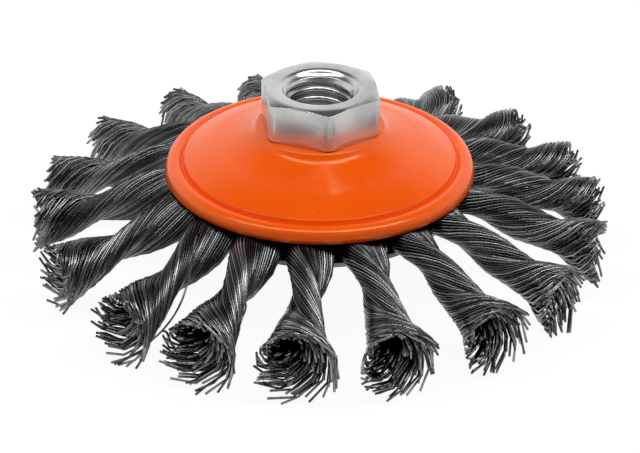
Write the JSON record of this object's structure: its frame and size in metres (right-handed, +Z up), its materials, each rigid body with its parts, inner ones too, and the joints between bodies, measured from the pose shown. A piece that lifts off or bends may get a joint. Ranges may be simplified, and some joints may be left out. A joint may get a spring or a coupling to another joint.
{
  "type": "knotted conical wire brush",
  "caption": "Conical wire brush for an angle grinder: pressed cover, hexagonal threaded hub nut and twisted knots of steel wire that splay outwards and down.",
  "frame": {"origin": "on the spindle axis at the foot of the countersink, where the thread of the hub nut starts", "axes": "+Z up along the spindle axis, out of the nut towards the grinder; -Y is the side of the brush nearest the camera in the picture, +X is to its right; the wire tips hang below"},
  "size_m": [0.116, 0.1152, 0.0377],
  "materials": {
    "cover_paint": "gloss orange enamel",
    "nut_zinc": "bright zinc plate",
    "sheet_steel": "plain pressed sheet",
    "knot_wire": "bright drawn wire, darkened between the strands"
  },
  "bodies": {
    "root": {"hub_nut": "nut_zinc", "upper_cover": "cover_paint", "knot_disc": "sheet_steel", "lower_plate": "sheet_steel", "wire_knot_01": "knot_wire", "wire_knot_02": "knot_wire", "wire_knot_03": "knot_wire", "wire_knot_04": "knot_wire", "wire_knot_05": "knot_wire", "wire_knot_06": "knot_wire", "wire_knot_07": "knot_wire", "wire_knot_08": "knot_wire", "wire_knot_09": "knot_wire", "wire_knot_10": "knot_wire", "wire_knot_11": "knot_wire", "wire_knot_12": "knot_wire", "wire_knot_13": "knot_wire", "wire_knot_14": "knot_wire", "wire_knot_15": "knot_wire", "wire_knot_16": "knot_wire", "wire_knot_17": "knot_wire", "wire_knot_18": "knot_wire"}
  },
  "joints": []
}
